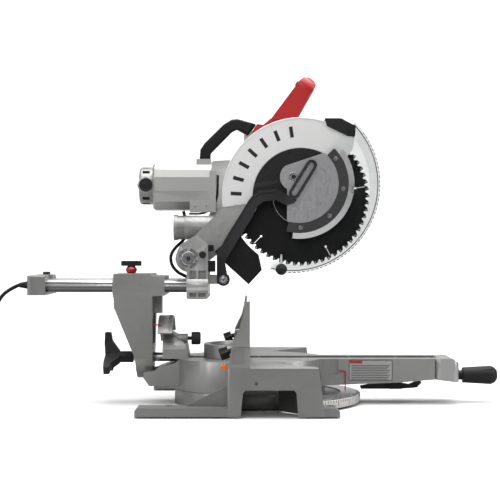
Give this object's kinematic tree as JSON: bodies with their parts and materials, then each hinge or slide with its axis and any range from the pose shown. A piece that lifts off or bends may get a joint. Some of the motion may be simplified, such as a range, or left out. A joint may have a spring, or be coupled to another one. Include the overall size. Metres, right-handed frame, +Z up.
{
  "type": "sliding miter saw",
  "caption": "Sliding compound miter saw: circular blade on a hinged head that slides on two rails and tilts over a turning table with a fence.",
  "frame": {"origin": "centre of the four bench bolt holes on the bench surface, under the table's turning axis and the fence face", "axes": "+X towards the operator, +Y to the motor side (the operator's right), +Z up"},
  "size_m": [1.3855, 0.587, 0.7249],
  "materials": {
    "base_aluminium": "cast, matt",
    "black_blade": "dark coated",
    "black_plastic": "fine texture",
    "brass": "plain",
    "cast_aluminium": "cast, satin",
    "chrome_rail": "polished",
    "clear_guard": "clear",
    "dark_casting": "satin grey",
    "grey_plastic": "satin",
    "red_plastic": "satin",
    "rubber": "matt",
    "scale_white": "printed",
    "steel": "bright"
  },
  "bodies": {
    "base": {"base_casting": "base_aluminium", "foot_pads": "rubber", "miter_scale": "scale_white", "detent_plate": "steel", "pivot_bolt": "steel", "fence": "cast_aluminium"},
    "left_fence": {"left_sliding_fence": "cast_aluminium"},
    "right_fence": {"right_sliding_fence": "cast_aluminium"},
    "left_fence_knob": {"left_fence_knob": "black_plastic"},
    "right_fence_knob": {"right_fence_knob": "black_plastic"},
    "turntable": {"turntable": "cast_aluminium", "kerf_plates": "black_plastic", "arm_front_cap": "grey_plastic", "miter_pointer": "red_plastic", "bevel_trunnion": "dark_casting", "bevel_scale": "scale_white", "bevel_shaft": "steel", "lever_bracket": "black_plastic"},
    "bevel_stop_pin": {"bevel_stop_pin": "black_plastic"},
    "miter_handle": {"miter_handle": "black_plastic"},
    "detent_lever": {"detent_lever": "black_plastic"},
    "bevel_arm": {"bevel_arm": "cast_aluminium", "rail_bushings": "brass"},
    "bevel_lock_handle": {"bevel_lock_handle": "black_plastic"},
    "slide_lock_knob": {"slide_lock_knob": "black_plastic"},
    "carriage": {"rails": "chrome_rail", "rear_bracket": "cast_aluminium", "hinge_bracket": "cast_aluminium", "pivot_pin": "steel", "head_bumper": "rubber", "strain_relief": "rubber", "power_cord": "rubber", "cord_coil": "rubber", "power_plug": "rubber", "head_cord": "rubber"},
    "head_lock_pin": {"head_lock_pin": "black_plastic"},
    "head": {"upper_guard": "cast_aluminium", "side_cover": "black_plastic", "guard_nose": "black_plastic", "gear_case": "cast_aluminium", "dust_port": "grey_plastic", "dust_chute": "rubber", "motor_housing": "cast_aluminium", "motor_end_cap": "cast_aluminium", "brush_caps": "black_plastic", "carry_handle": "rubber", "d_handle": "red_plastic"},
    "trigger": {"trigger": "black_plastic"},
    "lock_off_button": {"lock_off_button": "black_plastic"},
    "spindle": {"blade": "black_blade", "blade_flanges": "steel", "spindle": "steel"},
    "armature": {"armature": "steel"},
    "lower_guard": {"lower_guard_shell": "clear_guard", "guard_ring": "dark_casting", "ring_screws": "steel", "guard_plate": "grey_plastic", "guard_knob": "black_plastic"},
    "guard_link": {"guard_link": "black_plastic"}
  },
  "joints": [
    {"name": "miter_turn", "type": "hinge", "parent": "base", "child": "turntable", "pos_m": [0, 0, 0.06], "axis": [0, 0, 1], "range_deg": [-50, 50]},
    {"name": "left_fence_slide", "type": "slide", "parent": "base", "child": "left_fence", "axis": [0, 1, 0], "range_m": [-0.06, 0]},
    {"name": "right_fence_slide", "type": "slide", "parent": "base", "child": "right_fence", "axis": [0, 1, 0], "range_m": [0, 0.06]},
    {"name": "left_fence_lock", "type": "hinge", "parent": "base", "child": "left_fence_knob", "pos_m": [-0.0521, -0.244, 0.1269], "axis": [-0.9397, 0, -0.342], "range_deg": [-90, 90]},
    {"name": "right_fence_lock", "type": "hinge", "parent": "base", "child": "right_fence_knob", "pos_m": [-0.0521, 0.244, 0.1269], "axis": [-0.9397, 0, -0.342], "range_deg": [-90, 90]},
    {"name": "miter_lock", "type": "hinge", "parent": "turntable", "child": "miter_handle", "pos_m": [0.5, 0, 0.0596], "axis": [1, 0, 0], "range_deg": [-180, 180]},
    {"name": "detent_release", "type": "hinge", "parent": "turntable", "child": "detent_lever", "pos_m": [0.32, 0, 0.038], "axis": [0, -1, 0], "range_deg": [0, 4], "stiffness_Nm_per_rad": 4, "springref_deg": -17.19},
    {"name": "bevel_stop_pull", "type": "slide", "parent": "turntable", "child": "bevel_stop_pin", "axis": [1, 0, 0], "range_m": [0, 0.01], "stiffness_N_per_m": 800, "springref_m": -0.004},
    {"name": "bevel_tilt", "type": "hinge", "parent": "turntable", "child": "bevel_arm", "pos_m": [-0.2, 0, 0.1], "axis": [-1, 0, 0], "range_deg": [-49, 49]},
    {"name": "bevel_lock", "type": "hinge", "parent": "bevel_arm", "child": "bevel_lock_handle", "pos_m": [-0.3, 0, 0.1], "axis": [1, 0, 0], "range_deg": [-30, 30]},
    {"name": "slide_lock", "type": "hinge", "parent": "bevel_arm", "child": "slide_lock_knob", "pos_m": [-0.2625, 0, 0.3], "axis": [0, 0, 1], "range_deg": [-90, 90]},
    {"name": "rail_slide", "type": "slide", "parent": "bevel_arm", "child": "carriage", "axis": [1, 0, 0], "range_m": [-0.046, 0.14]},
    {"name": "head_lock", "type": "slide", "parent": "carriage", "child": "head_lock_pin", "axis": [0, -1, 0], "range_m": [0, 0.008]},
    {"name": "head_swing", "type": "hinge", "parent": "carriage", "child": "head", "pos_m": [-0.1324, 0, 0.3176], "axis": [0, -1, 0], "range_deg": [-43.9, 0], "stiffness_Nm_per_rad": 30, "springref_deg": 74.48, "deforming": ["head_cord"]},
    {"name": "trigger_pull", "type": "slide", "parent": "head", "child": "trigger", "axis": [0.5621, 0, 0.8271], "range_m": [0, 0.006], "stiffness_N_per_m": 600, "springref_m": -0.003},
    {"name": "lock_off_press", "type": "slide", "parent": "head", "child": "lock_off_button", "axis": [0.8271, 0, -0.5621], "range_m": [0, 0.003], "stiffness_N_per_m": 500, "springref_m": -0.002},
    {"name": "blade_spin", "type": "hinge", "parent": "head", "child": "spindle", "pos_m": [0.1115, 0, 0.4535], "axis": [0, 1, 0], "continuous": true},
    {"name": "motor_spin", "type": "hinge", "parent": "head", "child": "armature", "pos_m": [-0.15, 0.07, 0.481], "axis": [1, 0, 0], "continuous": true},
    {"name": "guard_retract", "type": "hinge", "parent": "head", "child": "lower_guard", "pos_m": [0.0953, -0.04, 0.4954], "axis": [0, 1, 0], "range_deg": [-121, 0]},
    {"name": "link_swing", "type": "hinge", "parent": "carriage", "child": "guard_link", "pos_m": [-0.058, -0.046, 0.2717], "axis": [0, 1, 0], "range_deg": [0, 53]}
  ],
  "couplings": [
    {"joint": "guard_retract", "follows": "head_swing", "ratio": 2.75},
    {"joint": "link_swing", "follows": "head_swing", "ratio": -1.18},
    {"joint": "motor_spin", "follows": "blade_spin", "ratio": 4.4}
  ]
}
